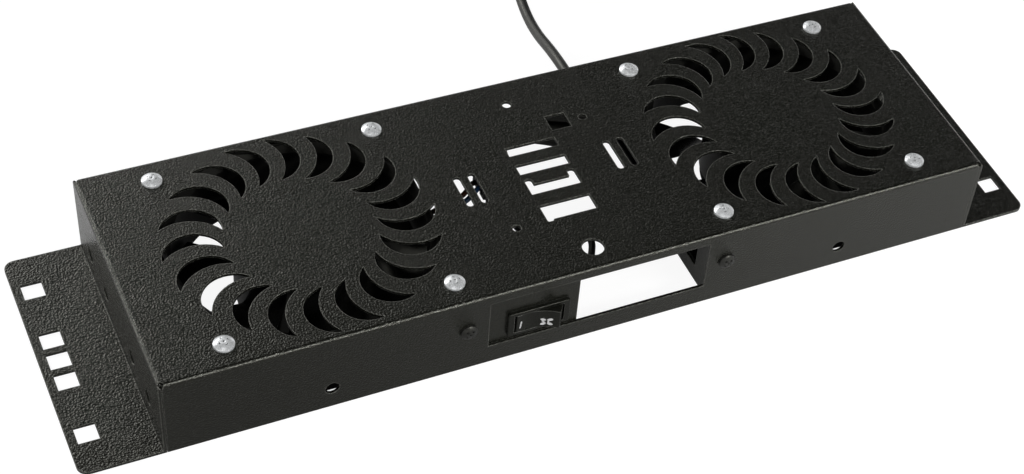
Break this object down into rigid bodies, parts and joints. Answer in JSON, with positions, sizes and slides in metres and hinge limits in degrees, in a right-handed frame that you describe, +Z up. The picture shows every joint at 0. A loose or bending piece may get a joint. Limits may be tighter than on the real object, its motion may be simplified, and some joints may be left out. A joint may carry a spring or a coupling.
{
  "type": "rack fan unit",
  "caption": "One-unit rack fan tray with axial fans under crescent grilles, a rocker switch behind the front window, rack ears and a mains lead.",
  "frame": {"origin": "on the floor under the middle of the tray, midway between the ears and between the front and back walls", "axes": "+X along the tray towards the right ear, -Y towards the front wall with the switch, +Z up"},
  "size_m": [0.4826, 0.3581, 0.0466],
  "materials": {
    "powder_coat": "textured black powder coat",
    "black_plate": "smooth black",
    "black_screw": "black oxide",
    "zinc": "bright zinc",
    "steel": "ground",
    "stator_steel": "varnished laminations",
    "copper": "enamelled winding",
    "fan_black": "moulded",
    "blade_black": "moulded",
    "switch_black": "semi-gloss moulded",
    "block_black": "moulded",
    "black_pvc": "smooth sleeve",
    "black_rubber": "moulded",
    "brown_pvc": "insulation",
    "blue_pvc": "insulation",
    "green_yellow_pvc": "insulation",
    "brass": "plain",
    "nickel": "nickel plated"
  },
  "bodies": {
    "unit": {"chassis": "powder_coat", "switch_bracket": "black_plate", "bracket_screws": "black_screw", "bracket_nuts": "zinc", "switch_housing": "switch_black", "switch_terminals": "brass", "fan_screws": "zinc", "fan_nuts": "zinc", "terminal_block": "block_black", "terminal_screws": "zinc", "brown_cores": "brown_pvc", "blue_cores": "blue_pvc", "earth_core": "green_yellow_pvc", "right_fan_sleeve": "black_pvc", "switch_sleeve": "black_pvc", "mains_sheath": "black_pvc", "earth_stud": "zinc", "earth_nut": "zinc", "ring_terminal": "zinc", "cord_gland": "black_rubber", "mains_cord": "black_pvc", "cord_tail": "black_pvc", "cord_coil": "black_pvc", "plug_body": "black_rubber", "plug_pins": "nickel", "plug_contacts": "brass", "left_fan_frame": "fan_black", "left_bearings": "steel", "left_stator_core": "stator_steel", "left_stator_coils": "copper", "right_fan_frame": "fan_black", "right_bearings": "steel", "right_stator_core": "stator_steel", "right_stator_coils": "copper"},
    "left_rotor": {"left_impeller": "blade_black", "left_rotor_ring": "steel", "left_shaft": "steel", "left_shaft_clip": "steel"},
    "right_rotor": {"right_impeller": "blade_black", "right_rotor_ring": "steel", "right_shaft": "steel", "right_shaft_clip": "steel"},
    "rocker": {"switch_rocker": "switch_black"}
  },
  "joints": [
    {"name": "left_fan_spin", "type": "hinge", "parent": "unit", "child": "left_rotor", "pos_m": [-0.12, 0, 0.0235], "axis": [0, 0, 1], "continuous": true},
    {"name": "right_fan_spin", "type": "hinge", "parent": "unit", "child": "right_rotor", "pos_m": [0.12, 0, 0.0235], "axis": [0, 0, 1], "continuous": true},
    {"name": "rocker_tilt", "type": "hinge", "parent": "unit", "child": "rocker", "pos_m": [-0.0307, -0.0615, 0.0211], "axis": [0, 0, 1], "range_deg": [0, 24]}
  ]
}
